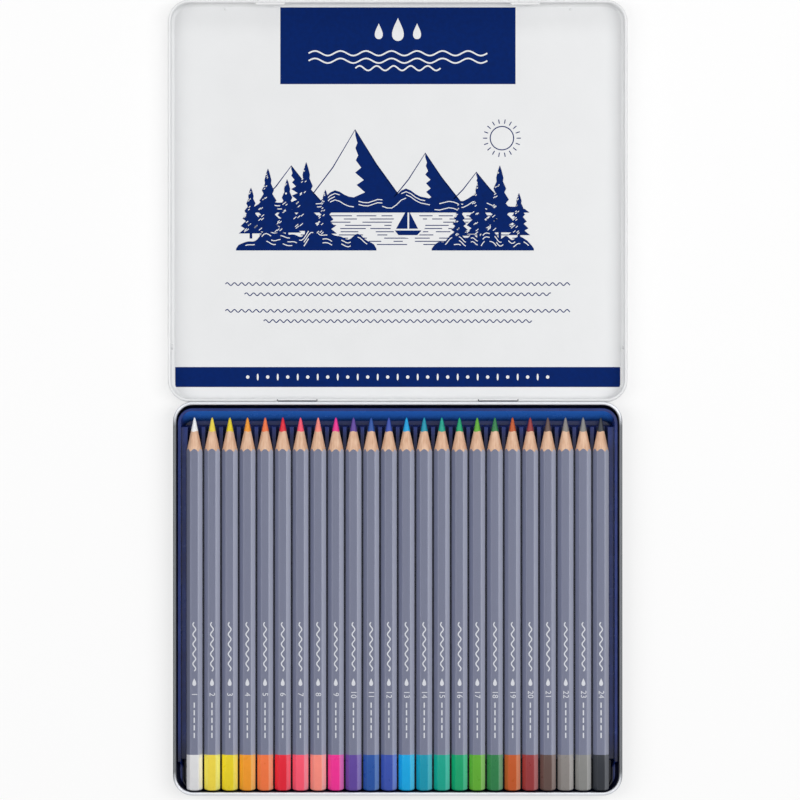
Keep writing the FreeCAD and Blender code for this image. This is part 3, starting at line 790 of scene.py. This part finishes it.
PHOTO_WIDTH = 374.9 * MM
SENSOR = 36
CAMERA_X, CAMERA_Y = 1.08 * MM, 93.0 * MM
CAMERA_HEIGHT = 2.4
RIM_HEIGHT = 8 * MM
camera_data = bpy.data.cameras.new("camera")
camera_data.sensor_width = SENSOR
camera_data.lens = SENSOR * (CAMERA_HEIGHT - RIM_HEIGHT) / PHOTO_WIDTH
camera = bpy.data.objects.new("camera", camera_data)
camera.location = (CAMERA_X, CAMERA_Y, CAMERA_HEIGHT)
camera.rotation_euler = (0, 0, 0)
camera_data.clip_end = 10
bpy.context.scene.collection.objects.link(camera)
bpy.context.scene.camera = camera

# Floor and light

FLOOR_GLOW = 0.6
FLOOR_REACH = 6
FLOOR_DROP = 0.2 * MM
SKY_LIGHT = 0.36
# Lamps: name, place, what they point at, width, height and power
LAMPS = (
    ("key", (0.9, 0.2, 1.5), (0, 0.09, 0), 0.8, 1.4, 13),
    ("fill", (-1.0, 0.15, 1.4), (0, 0.09, 0), 0.7, 1.4, 9),
    ("rear", (0.1, 1.5, 0.8), (0, 0.05, 0), 1.2, 0.4, 3),
)


def seen_rays(nodes, links):
    """One for rays that the camera sees, straight on or in metal and gloss, and nought for light."""
    path = nodes.new("ShaderNodeLightPath")
    total = path.outputs["Is Camera Ray"]
    for ray in ("Is Glossy Ray", "Is Transmission Ray"):
        either = nodes.new("ShaderNodeMath")
        either.operation = "MAXIMUM"
        links.new(total, either.inputs[0])
        links.new(path.outputs[ray], either.inputs[1])
        total = either.outputs["Value"]
    return total


def floor_plane():
    """A white floor below the tin, which glows a little where it is seen."""
    made = bpy.data.materials.new("floor")
    made.use_nodes = True
    shader = made.node_tree.nodes["Principled BSDF"]
    shader.inputs["Base Color"].default_value = (1, 1, 1, 1)
    shader.inputs["Roughness"].default_value = 0.9
    shader.inputs["Specular IOR Level"].default_value = 0.1
    nodes, links = made.node_tree.nodes, made.node_tree.links
    glow = nodes.new("ShaderNodeEmission")
    glow.inputs["Color"].default_value = (1, 1, 1, 1)
    glow.inputs["Strength"].default_value = 1.0
    share = nodes.new("ShaderNodeMath")
    share.operation = "MULTIPLY"
    share.inputs[1].default_value = FLOOR_GLOW
    mix = nodes.new("ShaderNodeMixShader")
    links.new(seen_rays(nodes, links), share.inputs[0])
    links.new(share.outputs["Value"], mix.inputs["Fac"])
    links.new(shader.outputs["BSDF"], mix.inputs[1])
    links.new(glow.outputs["Emission"], mix.inputs[2])
    links.new(mix.outputs["Shader"], nodes["Material Output"].inputs["Surface"])
    low, high = -FLOOR_REACH, FLOOR_REACH
    corners = [(low, low, 0), (high, low, 0), (high, high, 0), (low, high, 0)]
    mesh = bpy.data.meshes.new("floor")
    mesh.from_pydata(corners, [], [(0, 1, 2, 3)])
    mesh.materials.append(made)
    floor = bpy.data.objects.new("floor", mesh)
    floor.location.z = -FLOOR_DROP
    bpy.context.scene.collection.objects.link(floor)


def lamp(name, place, target, width, height, power):
    """A flat lamp turned towards its target."""
    data = bpy.data.lights.new(name, "AREA")
    data.shape = "RECTANGLE"
    data.size, data.size_y = width, height
    data.energy = power
    made = bpy.data.objects.new(name, data)
    made.location = place
    made.rotation_euler = (Vector(target) - Vector(place)).to_track_quat("-Z", "Y").to_euler()
    bpy.context.scene.collection.objects.link(made)


def sky():
    """Even light from all sides, with a white background where it is seen."""
    world = bpy.data.worlds.new("studio")
    bpy.context.scene.world = world
    world.use_nodes = True
    nodes, links = world.node_tree.nodes, world.node_tree.links
    light = nodes["Background"]
    light.inputs["Color"].default_value = (1, 1, 1, 1)
    light.inputs["Strength"].default_value = SKY_LIGHT
    seen = nodes.new("ShaderNodeBackground")
    seen.inputs["Color"].default_value = (1, 1, 1, 1)
    seen.inputs["Strength"].default_value = 1.0
    mix = nodes.new("ShaderNodeMixShader")
    links.new(seen_rays(nodes, links), mix.inputs["Fac"])
    links.new(light.outputs["Background"], mix.inputs[1])
    links.new(seen.outputs["Background"], mix.inputs[2])
    links.new(mix.outputs["Shader"], nodes["World Output"].inputs["Surface"])


floor_plane()
sky()
for values in LAMPS:
    lamp(*values)

bpy.context.scene.view_settings.view_transform = "Standard"
